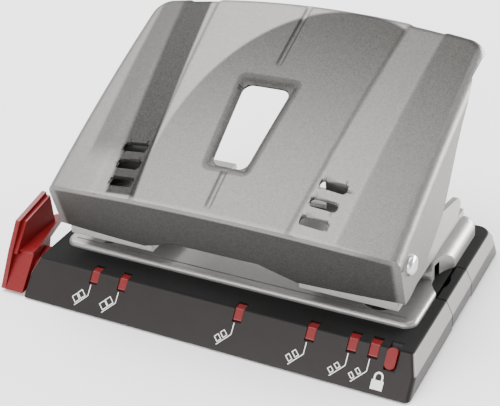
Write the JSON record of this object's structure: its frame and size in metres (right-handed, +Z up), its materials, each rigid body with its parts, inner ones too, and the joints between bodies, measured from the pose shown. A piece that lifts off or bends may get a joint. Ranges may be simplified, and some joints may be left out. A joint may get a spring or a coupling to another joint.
{
  "type": "hole punch",
  "caption": "Desk hole punch with a sheet-metal lever on a dark plastic base, a metal paper table, spring-loaded punches and a red sliding paper guide.",
  "frame": {"origin": "centre of the base's outline, on the surface that the punch stands on", "axes": "+X to the user's right along the two punches, +Y away from the user towards the lever's free end, +Z up"},
  "size_m": [0.1195, 0.0754, 0.0629],
  "materials": {
    "base_plastic": "fine matt texture",
    "table_paint": "fine silver paint",
    "bracket_paint": "fine silver paint",
    "lever_paint": "metallic silver paint, two tones",
    "zinc_steel": "zinc plated",
    "pin_steel": "drawn wire",
    "rivet_steel": "satin",
    "tool_steel": "ground",
    "spring_steel": "oiled wire",
    "red_plastic": "moulded, satin gloss",
    "lock_red_plastic": "moulded, satin gloss",
    "foot_rubber": "matt"
  },
  "bodies": {
    "base": {"base_shell": "base_plastic", "format_lenses": "lock_red_plastic", "base_floor": "base_plastic", "floor_screws": "zinc_steel", "rubber_feet": "foot_rubber", "paper_table": "table_paint", "punch_bracket_left": "bracket_paint", "punch_bracket_right": "bracket_paint", "bracket_rivets": "zinc_steel", "guide_bush_left": "zinc_steel", "guide_bush_right": "zinc_steel", "die_ring_left": "tool_steel", "die_ring_right": "tool_steel", "pin_spring_left": "spring_steel", "pin_spring_right": "spring_steel", "hatch_pin": "pin_steel", "guide_detent_spring": "spring_steel", "hinge_washer_left": "zinc_steel", "hinge_washer_right": "zinc_steel"},
    "lever": {"handle": "lever_paint", "press_bar": "zinc_steel", "hinge_rivet_left": "rivet_steel", "hinge_rivet_right": "rivet_steel"},
    "pin_left": {"punch_pin_left": "tool_steel", "spring_washer_left": "zinc_steel"},
    "pin_right": {"punch_pin_right": "tool_steel", "spring_washer_right": "zinc_steel"},
    "guide": {"paper_guide": "red_plastic"},
    "lock": {"guide_lock": "lock_red_plastic"},
    "hatch": {"chip_hatch": "base_plastic"}
  },
  "joints": [
    {"name": "handle_hinge", "type": "hinge", "parent": "base", "child": "lever", "pos_m": [0, -0.0174, 0.0266], "axis": [1, 0, 0], "range_deg": [-34, 0], "stiffness_Nm_per_rad": 0.6, "springref_deg": 14.32},
    {"name": "pin_left_slide", "type": "slide", "parent": "base", "child": "pin_left", "axis": [0, 0, 1], "range_m": [-0.0034, 0], "deforming": ["pin_spring_left"]},
    {"name": "pin_right_slide", "type": "slide", "parent": "base", "child": "pin_right", "axis": [0, 0, 1], "range_m": [-0.0034, 0], "deforming": ["pin_spring_right"]},
    {"name": "guide_slide", "type": "slide", "parent": "base", "child": "guide", "axis": [-1, 0, 0], "range_m": [0, 0.08755]},
    {"name": "lock_slide", "type": "slide", "parent": "base", "child": "lock", "axis": [0, 0.6899, 0.7239], "range_m": [0, 0.0024]},
    {"name": "hatch_hinge", "type": "hinge", "parent": "base", "child": "hatch", "pos_m": [0.0535, 0.00245, 0.0025], "axis": [0, 1, 0], "range_deg": [0, 75]}
  ],
  "couplings": [
    {"joint": "pin_left_slide", "follows": "handle_hinge", "m_per_rad": 0.00556},
    {"joint": "pin_right_slide", "follows": "handle_hinge", "m_per_rad": 0.00556}
  ]
}
